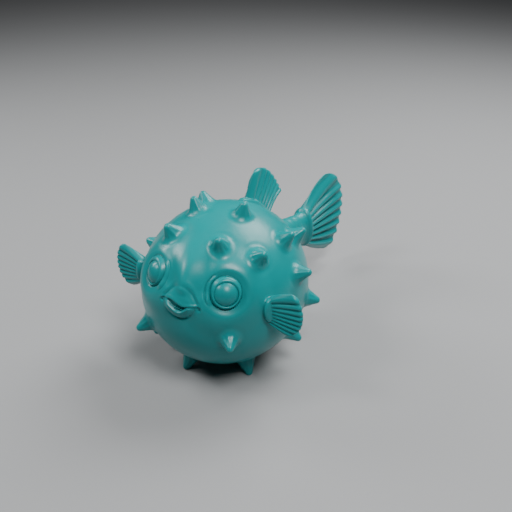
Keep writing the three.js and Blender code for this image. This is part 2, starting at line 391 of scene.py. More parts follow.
@dataclass(frozen=True)
class Peduncle:
    """The narrowing stem between ball and tail fin, bent a little to the fish's left."""

    start: Pair = (0.72, -0.06)
    end: Three = (0.05, 1.94, -0.13)
    bend: float = 9.0
    thick: Pair = (0.36, 0.4)
    slim: Pair = (0.125, 0.235)
    fillet: float = 0.16
    rings: float = 9.0
    ring_rise: float = 0.011
    ring_round: float = 0.6
    ring_start: Pair = (0.35, 0.6)
    narrowing: float = 1.4
    reach: float = 1.05

    @property
    def middle(self) -> Vector:
        """The point that the stem's reach is measured from."""
        return Vector((0.0, (self.start[0] + self.end[1]) / 2 + 0.1, self.end[2]))

    @property
    def aim(self) -> Vector:
        """The way the tail fin points."""
        turn = math.radians(self.bend)
        return Vector((math.sin(turn), math.cos(turn), 0.0))

    def section(self, y: Array) -> tuple[Array, ...]:
        """Gives the stem's section at each place along Y.

        Args:
            y: places along the fish.

        Returns:
            The middle's X and Z, and the half width and half height.
        """
        along = np.clip((y - self.start[0]) / (self.end[1] - self.start[0]), 0.0, 1.0)
        pull = self.end[0] - 0.5 * (self.end[1] - self.start[0]) * math.sin(math.radians(self.bend))
        mid_x = 2.0 * along * (1.0 - along) * pull + along**2 * self.end[0]
        mid_z = mix(self.start[1], self.end[2], along)
        grow = (1.0 - along) ** self.narrowing
        ring = self.ring_rise * np.abs(np.sin(along * math.pi * self.rings)) ** self.ring_round
        ring = ring * ease(along, *self.ring_start)
        half_x, half_z = (mix(slim, thick, grow) + ring for slim, thick in zip(self.slim, self.thick))
        return mid_x, mid_z, half_x, half_z

    def gap(self, points: Array) -> Array:
        """Gives about how far points lie outside the stem."""
        x, y, z = points.T
        mid_x, mid_z, half_x, half_z = self.section(y)
        tube = oval_gap(x - mid_x, z - mid_z, half_x, half_z)
        return np.maximum(tube, y - self.end[1])

    def block(self, bm: BMesh) -> None:
        """Adds the stem's rough tube to a blockout.

        Args:
            bm: the blockout.
        """
        first = len(bm.verts)
        length = self.end[1] - self.start[0]
        turn = Matrix.Rotation(-math.pi / 2, 4, "X")
        place = Matrix.Translation((0.0, self.start[0] + length / 2, 0.0)) @ turn
        made = add_post(bm, 32, (1.0, 1.0), length, place)
        edges = {edge for vert in made for edge in vert.link_edges}
        sides = [e for e in edges if abs(e.verts[0].co.y - e.verts[1].co.y) > length / 2]
        bmesh.ops.subdivide_edges(bm, edges=sides, cuts=9, use_grid_fill=True)
        bm.verts.ensure_lookup_table()
        for vert in bm.verts[first:]:
            mid_x, mid_z, half_x, half_z = (float(s[0]) for s in self.section(np.array([vert.co.y])))
            vert.co.x = mid_x + vert.co.x * half_x
            vert.co.z = mid_z + vert.co.z * half_z


# ---- face ----


@dataclass(frozen=True)
class Face:
    """Where the face looks: a little to the fish's left, and tilted about its own middle."""

    ball: Ball
    turn: float = 5.5
    lift: float = 16.0
    roll: float = -4.3

    @property
    def tilt(self) -> Quaternion:
        """The turn that tilts the face about its middle."""
        return Quaternion(heading(self.turn, self.lift), math.radians(self.roll))

    def way(self, turn: float, lift: float) -> Vector:
        """Gives a direction on the tilted face, `turn` degrees to the left of its middle."""
        way = heading(self.turn + turn, lift)
        way.rotate(self.tilt)
        return way

    def place(self, seat: Pair, look: Pair | None = None) -> Matrix:
        """Gives the frame of a feature of the face.

        Args:
            seat: where it is, as degrees to the fish's left of the face's middle and above level.
            look: which way it faces in the same degrees, where that isn't straight out of the ball.

        Returns:
            A frame on the ball whose Z axis points out and whose Y axis is up the face.
        """
        up = UP.copy()
        up.rotate(self.tilt)
        out = self.way(*look) if look else self.ball.normal(self.way(*seat))
        return frame_at(self.ball.seat(self.way(*seat)), out, up)


@dataclass(frozen=True)
class Feature(Placed):
    """A feature of the face, at the mouth and facing out unless it has its own seat and look."""

    face: Face
    seat: Pair = (-1.5, 14.5)
    look: Pair | None = None

    @property
    def place(self) -> Matrix:
        """The feature's frame, whose Z axis is the way it faces."""
        return self.face.place(self.seat, self.look)


@dataclass(frozen=True)
class EyeSocket(Feature):
    """One eye: an eyeball that bulges between thick lids, in a shallow bowl on a low mound."""

    side: Side = Side.LEFT
    ball_radius: float = 0.175
    sink: float = 0.075
    opening: float = 0.137
    lid_out: float = 0.173
    lid_out_top: float = 0.19
    lid_edge: float = 0.0495
    lid_foot: float = 0.022
    lid_swell: float = 0.009
    lid_sag: float = 0.008
    lid_lap: float = 0.008
    nose_trim: float = 0.0
    tuck: float = 0.014
    lean: float = 0.75
    bowl: float = 0.002
    rim_out: float = 0.285
    mound_rise: float = 0.053
    mound_reach: float = 0.56
    groove: Pair = (0.006, 0.007)
    groove_half: float = 0.009
    fold_turn: float = 0.26
    fold_out: float = 0.236
    fold_rise: float = 0.017
    reach: float = 0.7

    @property
    def ball_middle(self) -> Vector:
        """The middle of the eyeball."""
        return self.place @ Vector((0.0, 0.0, -self.sink))

    def lift_off(self, points: Array) -> Array:
        """Gives how the lids, the bowl and the mound move points of the plain ball.

        Args:
            points: places on the ball near the eye.

        Returns:
            The move of each point.
        """
        x, y, z = into(self.place, points).T
        out = np.hypot(x, y)
        nose = -self.side.value * x / np.maximum(out, 1e-6)
        top = y / np.maximum(out, 1e-6)
        low = 1.0 - ease(top, -0.35, 0.05)
        inner = self.opening - self.lid_lap * ease(top, 0.1, 1.0)
        outer = mix(self.lid_out, self.lid_out_top, ease(top, -0.2, 0.9))
        outer = outer - self.nose_trim * ease(nose, -0.1, 0.8)
        round_part = np.minimum(out, self.ball_radius * 0.97)
        under = np.sqrt(self.ball_radius**2 - round_part**2) - self.sink - self.tuck
        part = np.clip((out - inner) / (outer - inner), 0.0, 1.0)
        lean = self.lean * (z + 0.5 * out**2)
        fall = self.lid_edge - (self.lid_foot + lean)
        lid = self.lid_edge - fall * part**1.5 + self.lid_swell * np.sin(math.pi * part)
        lid = lid - self.lid_sag * low * ease(part, 0.35, 0.9)
        lids = mix(under, lid, ease(out, inner - 0.007, inner + 0.003))
        bowl = self.bowl + lean
        mound = self.mound_rise * (1.0 - ease(out, self.rim_out, self.mound_reach))
        around = mix(bowl, z + mound, ease(out, outer + 0.01, self.rim_out))
        level = mix(lids, around, ease(out, outer - 0.004, outer + 0.004))
        groove = self.groove[0] + self.groove[1] * low
        level = level - groove * bump(out, outer + 0.001, self.groove_half)
        beside = ease(nose * math.cos(self.fold_turn) + top * math.sin(self.fold_turn), 0.6, 0.85)
        middle, half = (outer + self.fold_out) / 2, (self.fold_out - outer) / 2
        crease = 0.7 * bump(out, self.fold_out + 0.002, 0.008)
        level = level + self.fold_rise * beside * (arc((out - middle) / half, 0.8) - crease)
        return along_z(self.place, level - z)


@dataclass(frozen=True)
class NoseBridge(Feature):
    """The broad soft ridge that runs up the forehead from the mouth."""

    foot: float = 0.29
    lean: float = -0.2
    half: Pair = (0.075, 0.125)
    rise: float = 0.052
    sides: Three = (0.35, 0.21, 0.09)
    rises: Pair = (0.12, 0.24)
    widens: Pair = (0.2, 0.55)
    fades: Pair = (0.45, 0.95)
    reach: float = 1.1

    def lift_off(self, points: Array) -> Array:
        """Gives how the bridge moves points of the plain ball.

        Args:
            points: places on the ball.

        Returns:
            The move of each point.
        """
        x, y, _ = into(self.place, points).T
        line = self.lean * (y - self.foot)
        along = ease(y, *self.rises) * (1.0 - ease(y, *self.fades))
        half = mix(*self.half, ease(y, *self.widens))
        deep, away, wide = self.sides
        ridge = bump(x, line, half) - deep * bump(np.abs(x - line), away, wide)
        return along_z(self.place, self.rise * ridge * along)


@dataclass(frozen=True)
class Mouth(Feature):
    """A small pouting mouth: a domed upper lip, an almond-shaped gap and a full lower lip."""

    middle_y: float = 0.02
    dome_rise: float = 0.066
    dome_half: Pair = (0.188, 0.21)
    dome_skew: Pair = (0.013, -0.05)
    dome_narrow: float = 0.3
    dome_power: float = 0.92
    outline: tuple = ((-0.004, 1.03, 0.08), (0.006, 1.26, 0.13))
    edge_level: float = 0.014
    edge_waves: tuple = ((0.054, -0.075, 0.105), (0.024, 0.2, 0.09))
    edge_roll: Three = (0.008, 0.018, 0.014)
    lips_apart: float = 0.02
    gape: Four = (0.104, -0.025, 0.135, 1.25)
    fold_level: float = 0.005
    fold: Four = (0.155, -0.012, 0.178, 0.5)
    fold_crease: Three = (0.016, -0.002, 0.013)
    low_rise: float = 0.062
    low_round: float = 0.45
    low_ends: Pair = (0.1, 0.188)
    seam_sink: float = 0.014
    open_gap: Pair = (0.02, 0.085)
    depth: float = -0.015
    droop: float = 0.014
    ends: Pair = (0.195, 0.225)
    corners: tuple = ((-0.203, 0.001), (0.214, 0.012))
    corner_pit: Three = (0.016, 0.022, 0.018)
    reach: float = 0.5

    def hang(self, x: Array, curve: Four) -> Array:
        """Gives how far a curve of a depth, middle, half width and power hangs down."""
        deep, middle, half, power = curve
        return deep * arc((x - middle) / half, power)

    def upper_edge(self, x: Array) -> Array:
        """Gives the height of the upper lip's lower edge across the mouth."""
        return bumps(x, self.edge_level, *self.edge_waves)

    def crest(self, x: Array) -> Array:
        """Gives the height of the lower lip's crest across the mouth."""
        return self.upper_edge(x) - self.lips_apart - self.hang(x, self.gape)

    def dome(self, x: Array, y: Array) -> tuple[Array, Array]:
        """Gives the relief of the upper lip.

        Args:
            x: places across the mouth.
            y: places up the face.

        Returns:
            The lip's rise, and the low relief round it.
        """
        up = y - self.middle_y
        narrow = 1.0 - self.dome_narrow * ease(y, 0.0, self.dome_half[1])
        aside = x - (self.dome_skew[0] + self.dome_skew[1] * up)
        arch = np.hypot(aside / (self.dome_half[0] * narrow), up / self.dome_half[1])
        outline = bumps(arch, 0.0, *self.outline) * ease(y, -0.05, 0.02)
        outline = outline * (1.0 - bump(x, -0.03, 0.07) * ease(y, 0.12, 0.2))
        return self.dome_rise * arc(arch, self.dome_power), outline

    def lift_off(self, points: Array) -> Array:
        """Gives how the lips, their folds and the gap move points of the plain ball.

        Args:
            points: places on the ball near the mouth.

        Returns:
            The move of each point.
        """
        x, y, _ = into(self.place, points).T
        top, low = self.upper_edge(x), self.crest(x)
        fold = self.fold_level - self.hang(x, self.fold)
        dome, outline = self.dome(x, y)
        inner_line = -0.004 * bump(x + 0.65 * y, 0.184, 0.013) * bump(y, 0.1, 0.045)
        upper = dome + outline + inner_line + bumps(y - top, 0.0, self.edge_roll)
        part = np.clip((y - fold) / np.maximum(low - fold, 0.02), 0.0, 1.0)
        span = 1.0 - ease(np.abs(x - 0.003), *self.low_ends)
        crest_level = self.low_rise * span
        rounded = np.sqrt(1.0 - (1.0 - part) ** 2)
        lower = crest_level * ((1.0 - self.low_round) * part + self.low_round * rounded)
        lower = lower - bumps(y - fold, 0.0, self.fold_crease) * span
        open_here = ease(top - low, *self.open_gap)
        floor = crest_level - (crest_level + self.depth) * ease(y - low, -0.003, 0.05)
        across = np.clip((y - low) / (top - low), 0.0, 1.0)
        seam = np.minimum(crest_level, dome) - self.seam_sink * across**2
        inside = mix(seam, floor, open_here)
        level = mix(lower, inside, ease(y - low, -0.003, 0.004))
        level = mix(level, upper, ease(y - top, -0.005, 0.004))
        level = mix(level, np.maximum(outline, -0.004), ease(np.abs(x - 0.005), *self.ends))
        deep, half_x, half_y = self.corner_pit
        for corner_x, corner_y in self.corners:
            away = np.hypot((x - corner_x) / half_x, (y - corner_y) / half_y)
            level = level - deep * bump(away, 0.0, 1.0)
        droop = self.droop * bump(y - top, 0.0, 0.02) * ease(y - top, -0.006, 0.004) * open_here
        return along_z(self.place, level) - droop[:, None] * np.array(self.place.to_3x3().col[1])


# ---- fins ----


@dataclass(frozen=True)
class Fin:
    """A fan of rounded rays in its own frame: Z runs outwards, Y along the root, X through it."""

    name: str
    place: Matrix
    root: float
    thick: float
    rim: float
    reach: float
    sweep: float
    rays: int
    shoulders: Pair
    flares: Pair
    wide: WideRay
    collar_out: float
    collar_size: Pair
    groove: float
    thinnest: float
    collar_sink: float = 0.1
    collar_way: Vector | None = None
    collar_droop: float = 0.0
    plump: float = 1.0
    widen: float = 1.22
    scallop: float = 0.02
    taper: Pair = (0.8, 0.42)
    edges: Pair = (0.1, 0.17)
    rim_round: Pair = (0.93, 0.07)
    root_round: float = 0.06
    arch: float = 0.55
    start: float = -0.02
    ray_cols: int = 9
    rows: int = 22

    @property
    def collar(self) -> Collar:
        """The swollen root that the fan stands in."""
        half_x, half_y = self.thick * self.collar_size[0], self.root * self.collar_size[1]
        up = self.place.to_3x3().col[1]
        place = frame_at(self.place.translation, self.collar_way, up) if self.collar_way else self.place
        return Collar(place, half_x, half_y, self.collar_out, self.collar_sink, self.collar_droop)

    def half_thick(self, v: Array, u: Array) -> Array:
        """Gives half the fan's thickness: round rays with grooves between, and rounded edges.

        Args:
            v: places across the fan, from -1 to 1.
            u: places from the root at 0 to the rim at 1.

        Returns:
            The half thickness at each place.
        """
        part = np.clip((1.0 - v * self.wide.value) / 2.0, 0.0, 1.0)
        turn = self.rays * part**self.widen
        outermost = np.abs(turn - self.rays / 2.0) > self.rays / 2.0 - 0.5
        across = (2.0 * (turn % 1.0) - 1.0) * np.where(outermost, 0.6, 1.0)
        ray_half = mix(self.root, self.rim, u) / self.rays
        ray_half = ray_half * np.maximum(part, 0.03) ** (1.0 - self.widen)
        full = self.plump * self.thick * (self.taper[0] - self.taper[1] * u)
        half = full - self.groove * ray_half * across**2
        half = np.maximum(half, self.thinnest * full)
        edge = np.where(v * self.wide.value > 0.0, self.edges[1], self.edges[0])
        past = np.clip((np.abs(v) - 1.0 + edge) / edge, 0.0, 1.0)
        tip = np.clip((u - self.rim_round[0]) / self.rim_round[1], 0.0, 1.0)
        foot = np.clip(u / self.root_round, 0.0, 1.0)
        return half * np.sqrt(1.0 - past**2) * np.sqrt(1.0 - tip**2) * np.sqrt(foot)

    def spread(self, v: Array, u: Array) -> Array:
        """Places points of the fan.

        Args:
            v: places across the fan, from -1 to 1.
            u: places from the root at 0 to the rim at 1.

        Returns:
            Their coordinates on one face of the fan, in the fin's frame.
        """
        part = (1.0 - v * self.wide.value) / 2.0
        wave = np.abs(np.sin(math.pi * self.rays * part**self.widen))
        shoulder, flare = (mix(*ends, (v + 1.0) / 2.0) for ends in (self.shoulders, self.flares))
        out = mix(shoulder, self.reach, np.sqrt(1.0 - v**2))
        end = np.stack((out + self.scallop * self.reach * wave, v * self.rim + self.sweep))
        begin = np.stack((np.full_like(v, self.start), v * self.root * 0.94))
        chord = end - begin
        turn = np.arctan2(chord[1], chord[0]) * flare
        pull = np.hypot(*chord) * self.arch
        bend = begin + pull * np.stack((np.cos(turn), np.sin(turn)))
        path = (1 - u) ** 2 * begin + 2 * u * (1 - u) * bend + u**2 * end
        return np.stack((self.half_thick(v, u), path[1], path[0]), axis=1)

    def build(self) -> Piece:
        """Builds the closed fan in ball space.

        Returns:
            The fan.
        """
        bm = bmesh.new()
        bmesh.ops.create_grid(bm, x_segments=self.rays * self.ray_cols, y_segments=self.rows, size=1.0)
        grid = coords_of(bm)
        v = np.clip(grid[:, 0], -1.0, 1.0)
        v = 0.4 * v + 0.6 * np.sin(0.5 * math.pi * v)
        u = np.clip(0.5 + 0.5 * grid[:, 1], 0.0, 1.0)
        u = 1.0 - (1.0 - u) ** 1.35
        move_to(bm, self.spread(v, u))
        bmesh.ops.mirror(bm, geom=bm.verts[:] + bm.edges[:] + bm.faces[:], merge_dist=1e-5, axis="X")
        bmesh.ops.remove_doubles(bm, verts=bm.verts, dist=1e-5)
        bmesh.ops.dissolve_degenerate(bm, edges=bm.edges, dist=1e-6)
        bmesh.ops.recalc_face_normals(bm, faces=bm.faces)
        bmesh.ops.transform(bm, matrix=self.place, verts=bm.verts)
        return object_from(bm, self.name)


def fins_on(ball: Ball, stem: Peduncle) -> list[Fin]:
    """Lists the five fins with their sizes and seats.

    Args:
        ball: the body that four of them grow from.
        stem: what the tail fin grows from.

    Returns:
        The fins.
    """
    # The sizes are root, thick, rim, reach, sweep, rays, shoulders and flares, as in Fin.
    fins = []
    for name, lift, sizes in (
        ("dorsal_fin", 43.0, (0.35, 0.07, 0.46, 0.48, 0.0, 7, (0.17, 0.4), (1.2, -1.5))),
        ("anal_fin", -30.0, (0.24, 0.065, 0.31, 0.36, -0.04, 6, (0.22, 0.22), (1.35, 1.35))),
    ):
        way = heading(180.0, lift)
        place = frame_at(ball.seat(way), ball.normal(way), BACK)
        fins.append(Fin(
            name, place, *sizes, WideRay.FIRST, collar_out=0.05, collar_size=(1.35, 1.2),
            collar_droop=0.5, plump=1.3, groove=1.1, thinnest=0.2, start=-0.14))
    for side in Side:
        sign = side.value
        seat = ball.seat(heading(sign * 63.0, 9.0))
        lean = UP + Vector((sign * math.tan(math.radians(16.0)), 0.0, 0.0))
        place = frame_at(seat, heading(sign * 92.0, 0.0), lean)
        name = f"pectoral_fin_{side.name.lower()}"
        sizes = (0.13, 0.07, 0.283, 0.405, -0.012, 8, (0.19, 0.26), (1.35, 1.5))
        fins.append(Fin(
            name, place, *sizes, WideRay.LAST, collar_out=0.075, collar_size=(1.35, 1.06),
            collar_way=heading(sign * 72.0, 4.0), plump=1.2, groove=0.62, thinnest=0.4, start=-0.05))
    tail = frame_at(Vector(stem.end), stem.aim, UP)
    sizes = (0.235, 0.12, 0.635, 1.05, 0.02, 8, (0.68, 0.53), (1.35, 1.5))
    fins.append(Fin(
        "tail_fin", tail, *sizes, WideRay.LAST, collar_out=0.11, collar_size=(1.3, 1.13),
        collar_sink=0.03, groove=1.2, thinnest=0.2, ray_cols=10, rows=32))
    return fins


# ---- finishes ----


def feed(node: bpy.types.Node, inputs: dict) -> None:
    """Gives a shader node's inputs their values, or the outputs that they are linked to.

    Args:
        node: the node.
        inputs: a value or another node's output for each input's name or number.
    """
    for key, value in inputs.items():
        if isinstance(value, Socket):
            node.id_data.links.new(value, node.inputs[key])
        else:
            node.inputs[key].default_value = value


def add_node(tree: bpy.types.NodeTree, kind: str, inputs: dict, **options: object) -> bpy.types.Node:
    """Adds a shader node.

    Args:
        tree: the nodes of a material or group.
        kind: the node's type, without its ShaderNode prefix.
        inputs: what its inputs are fed with.
        options: the node's own settings.

    Returns:
        The node.
    """
    node = tree.nodes.new(f"ShaderNode{kind}")
    for key, value in options.items():
        setattr(node, key, value)
    feed(node, inputs)
    return node


def plastic_and_painted_light_group() -> bpy.types.NodeTree:
    """Builds the shared plastic finish: a tone that drifts at random, painted shade darkening the
    hollows and creases, a painted highlight paling the sharp crests, and a fine grain.

    Returns:
        The node group, with a colour, a roughness and a height as its outputs.
    """
    group = bpy.data.node_groups.new("plastic_with_painted_light", "ShaderNodeTree")
    for way, sockets in (
        ("INPUT", {"Place": "Vector", "Hollow": "Float", "Crest": "Float", "Colour": "Color",
                   "Deep": "Color", "Pale": "Color", "Roughness": "Float"}),
        ("OUTPUT", {"Colour": "Color", "Roughness": "Float", "Height": "Float"}),
    ):
        for name, kind in sockets.items():
            group.interface.new_socket(name, in_out=way, socket_type=f"NodeSocket{kind}")
    enter, leave = (group.nodes.new(f"NodeGroup{end}") for end in ("Input", "Output"))
    given = enter.outputs

    def noise(scale: float, detail: float) -> Socket:
        """Adds a noise of one scale, in the group's own place."""
        inputs = {"Scale": scale, "Detail": detail, "Vector": given["Place"]}
        return add_node(group, "TexNoise", inputs).outputs["Fac"]

    def remap(mask: Socket, *limits: float) -> Socket:
        """Adds a map from one range to another, given as their four limits."""
        keys = ("From Min", "From Max", "To Min", "To Max")
        return add_node(group, "MapRange", {"Value": mask, **dict(zip(keys, limits))}).outputs["Result"]

    tone = given["Colour"]
    # The three mixes: a random drift towards the pale tone, painted shade towards the deep tone in
    # hollows and creases, and a painted highlight towards the pale tone on sharp crests.
    for mask, low, high, most, other in (
        (noise(45.0, 2.0), 0.35, 0.7, 0.12, "Pale"),
        (given["Hollow"], 0.0, 1.0, 0.75, "Deep"),
        (given["Crest"], 0.0, 1.0, 0.45, "Pale"),
    ):
        mixed = {"Factor": remap(mask, low, high, 0.0, most), "A": tone, "B": given[other]}
        tone = add_node(group, "Mix", mixed, data_type="RGBA").outputs["Result"]
    shift = remap(noise(160.0, 3.0), 0.3, 0.7, -0.035, 0.035)
    rough = add_node(group, "Math", {0: given["Roughness"], 1: shift}, operation="ADD")
    feed(leave, {"Colour": tone, "Roughness": rough.outputs["Value"], "Height": noise(2600.0, 2.0)})
    return group


@dataclass(frozen=True)
class SatinPlastic:
    """A satin moulded plastic of one colour, whose finish darkens hollows with painted shade and pales
    crests with a painted highlight.
    """

    name: str
    colour: Three
    # deep: the painted shade tone laid into hollows and creases.
    deep: Three
    # pale: the tone of the random drift, and of the painted highlight on crests.
    pale: Three
    roughness: float
    specular: float = 0.36
    grain: float = 0.06
    grain_height: float = 0.0002

    def make(self, group: bpy.types.NodeTree) -> bpy.types.Material:
        """Builds the material round the shared group.

        Args:
            group: the shared group, which drifts the tone and paints shade into hollows and a highlight
                onto crests.

        Returns:
            The material.
        """
        material = bpy.data.materials.new(self.name)
        material.use_nodes = True
        tree = material.node_tree
        inputs = {"Place": add_node(tree, "TexCoord", {}).outputs["Object"], "Roughness": self.roughness}
        for key, tone in (("Colour", self.colour), ("Deep", self.deep), ("Pale", self.pale)):
            inputs[key] = (*tone, 1.0)
        for key in ("Hollow", "Crest"):
            inputs[key] = add_node(tree, "Attribute", {}, attribute_name=key.lower()).outputs["Fac"]
        made = add_node(tree, "Group", inputs, node_tree=group).outputs
        bump_inputs = {"Strength": self.grain, "Distance": self.grain_height, "Height": made["Height"]}
        feed(tree.nodes["Principled BSDF"], {
            "Base Color": made["Colour"], "Roughness": made["Roughness"],
            "Normal": add_node(tree, "Bump", bump_inputs).outputs["Normal"],
            "Specular IOR Level": self.specular,
        })
        return material


def mark_form(piece: Piece, hollow_at: float, crest_at: float, spread: int) -> None:
    """Stores how hollow and how sharply raised a mesh is at each point, for its finish to paint shade
    into the hollows and a highlight onto the crests.

    Args:
        piece: the object, whose mesh gets two float attributes.
        hollow_at: the hollow curvature, in 1/m, that counts as fully hollow.
        crest_at: the raised curvature, in 1/m, that counts as a full crest.
        spread: how many times the marks are spread to the neighbours.
    """
    mesh = piece.data
    count = len(mesh.vertices)
    points = np.empty(count * 3, np.float32)
    mesh.vertices.foreach_get("co", points)
    points = points.reshape(-1, 3).astype(float)
    normals = np.array([normal.vector for normal in mesh.vertex_normals], float)
    ends = np.empty(len(mesh.edges) * 2, np.int32)
    mesh.edges.foreach_get("vertices", ends)
    one, two = ends.reshape(-1, 2).T
    step = points[two] - points[one]
    square = np.maximum((step**2).sum(1), 1e-12)
    bend = np.zeros(count)
    degree = np.maximum(np.bincount(np.concatenate((one, two)), minlength=count), 1)
    for here, way in ((one, step), (two, -step)):
        np.add.at(bend, here, 2.0 * (way * normals[here]).sum(1) / square)
    bend = bend / degree
    for _ in range(spread):
        total = np.bincount(one, bend[two], count) + np.bincount(two, bend[one], count)
        bend = 0.5 * bend + 0.5 * total / degree
    for name, value in (("hollow", bend / hollow_at), ("crest", -bend / crest_at)):
        layer = mesh.attributes.new(name, "FLOAT", "POINT")
        layer.data.foreach_set("value", np.clip(value, 0.0, 1.0).astype(np.float32))


# ---- the figurine ----


@dataclass
class Figurine:
    """The whole fish: one skin over all the flesh, two eyeballs and a row of teeth."""

    ball: Ball = field(default_factory=Ball)
    stem: Peduncle = field(default_factory=Peduncle)
    # Each spine is a bearing and a lift in degrees, and a level where it isn't the usual one.
    head_spines: tuple = ((-34, 54), (29, 55), (36, -8), (-38, -20))
    trunk_spines: tuple = (
        (-71, 72), (-110, 68, 1.15), (89, 76), (64, 43), (100, 44), (120, 37), (95, 20), (116, -13),
        (98, -33), (-59, -40), (-87, 15), (-126, 12), (-155, 28), (-103, -12), (-140, -14), (-96, -40),
        (-150, -36), (150, -30),
    )
    foot_spines: tuple = ((61, -61), (-23, -60), (-126, -60), (150, -60))
    foot_past: float = 0.014
    foot_tip: float = 0.047
    voxel: float = 0.03
    coarse_spine: float = 0.14
    face_reach: float = 0.36
    fine_reach: float = 0.28
    wall_band: float = 0.055
    join_band: float = 0.03
    lid_band: float = 0.016
    edge_band: float = 0.02
    lips_half: float = 0.24
    tooth_count: int = 4
    tooth_radius: float = 0.0125
    tooth_tall: float = 2.2
    first_tooth: Three = (-0.03, -0.016, 0.034)
    tooth_step: Pair = (0.025, -0.003)

    def __post_init__(self) -> None:
        """Lists every form that makes the surface."""
        self.face = Face(self.ball)
        self.eyes = [
            EyeSocket(self.face, (28.4, 26.8), (34.5, 26.0), Side.LEFT),
            EyeSocket(
                self.face, (-30.0, 26.0), (-37.0, 18.0), Side.RIGHT, lid_foot=0.03, nose_trim=0.014,
                bowl=0.022, fold_rise=0.012),
        ]
        self.mouth = Mouth(self.face)
        self.fins = fins_on(self.ball, self.stem)
        self.spines = [Spine(self.ball, *spine) for spine in self.head_spines + self.trunk_spines]
        for bearing, lift in self.foot_spines:
            level = (-self.ball.ground + self.foot_past) / (
                self.ball.half[2] * math.sin(math.radians(-lift)))
            self.spines.append(Spine(self.ball, bearing, lift, level, foot=0.12, tip=self.foot_tip))
        self.growths = [*self.spines, self.stem, *(fin.collar for fin in self.fins)]
        self.bridge = NoseBridge(self.face)

    @property
    def to_row(self) -> Matrix:
        """The move from ball space to the row frame, found from where the CAD's eyes are."""
        boxes = [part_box(f"eye_{eye.side.name.lower()}") for eye in self.eyes]
        seen = sum((sum(box, Vector()) / 2 for box in boxes), Vector())
        known = sum((eye.ball_middle for eye in self.eyes), Vector())
        middle = (seen - known * self.ball.radius) / len(self.eyes)
        return Matrix.Translation(middle) @ Matrix.Scale(self.ball.radius, 4)

    def gap(self, points: Array) -> Array:
        """Gives about how far points lie outside the finished body.

        Args:
            points: places in ball space.

        Returns:
            Distances, negative inside.
        """
        gap = self.ball.gap(points)
        for form in self.growths:
            near = nearest(points, [form.middle]) < form.reach
            gap[near] = soft_min(gap[near], form.gap(points[near]), form.fillet)
        for spine in self.spines:
            near = nearest(points, [spine.middle]) < spine.moat_reach
            gap[near] += spine.ring(points[near])
        return gap

    def settle(self, bm: BMesh, steps: int) -> None:
        """Moves every vertex along the slope of the surface formula until it lies on the surface.

        Args:
            bm: a mesh close to the surface.
            steps: how many times it is moved.
        """
        taps = np.array(((1, -1, -1), (-1, -1, 1), (-1, 1, -1), (1, 1, 1)), float)
        points = coords_of(bm)
        for _ in range(steps):
            slope = sum(tap * self.gap(points + tap * 0.002)[:, None] for tap in taps)
            slope /= np.maximum(np.linalg.norm(slope, axis=1, keepdims=True), 1e-9)
            shift = np.clip(self.gap(points), -0.05, 0.05)
            points = points - slope * shift[:, None] * 0.9
        move_to(bm, points)

    def blockout(self) -> Piece:
        """Builds the rough body and welds it into one even net.

        Returns:
            The net, in ball space.
        """
        bm = bmesh.new()
        self.ball.block(bm)
        for form in self.growths:
            form.block(bm)
        rough = object_from(bm, "body_blockout")
        net = rough.modifiers.new("net", "REMESH")
        net.mode = "VOXEL"
        net.voxel_size = self.voxel
        apply_modifiers(rough)
        return rough

    def refine(self, bm: BMesh, wanted: Callable[[Array], Array]) -> None:
        """Splits the faces of a region into four.

        Args:
            bm: the mesh.
            wanted: says which of the given points are in the region.
        """
        bm.verts.index_update()
        inside = wanted(coords_of(bm))
        edges = [e for e in bm.edges if inside[e.verts[0].index] and inside[e.verts[1].index]]
        bmesh.ops.subdivide_edges(bm, edges=edges, cuts=1, use_grid_fill=True)

    def body(self) -> Piece:
        """Models the ball, spines, stem, collars and face as one net, in ball space.

        Returns:
            The body, without the fans of its fins.
        """
        rough = self.blockout()
        bm = bmesh.new()
        bm.from_mesh(rough.data)
        bpy.data.objects.remove(rough)
        self.settle(bm, 3)
        tops = [s.place @ Vector((0.0, 0.0, s.height * 0.5)) for s in self.spines]
        self.refine(
            bm, lambda points: (nearest(points, tops) < self.coarse_spine) | self.on_collars(points))
        self.refine(bm, lambda points: self.from_face(points) < self.face_reach)
        self.settle(bm, 2)
        self.refine(bm, lambda points: self.from_face(points) < self.fine_reach)
        self.refine(bm, self.on_fine_lines)
        for _ in range(3):
            smooth(bm, np.ones(len(bm.verts), bool), 0.5, 1)
            self.settle(bm, 2)
        self.settle(bm, 3)
        self.add_face(bm)
        self.cut_feet(bm)
        return object_from(bm, "pufferfish_skin")

    def from_face(self, points: Array) -> Array:
        """Gives how far each point is from the nearest eye or the mouth."""
        return nearest(points, [form.middle for form in (*self.eyes, self.mouth)])

    def on_collars(self, points: Array) -> Array:
        """Says which points are on the wall of a fin's collar.

        Args:
            points: places in ball space.

        Returns:
            A flag for each point.
        """
        wanted = np.zeros(len(points), bool)
        for fin in self.fins:
            collar = fin.collar
            x, y, z = into(collar.place, points).T
            wall = np.abs(oval_gap(x, y, collar.half_x, collar.half_y)) < self.wall_band
            wanted |= wall & (z < collar.out + self.join_band) & (z > -collar.sink - 0.05)
        return wanted

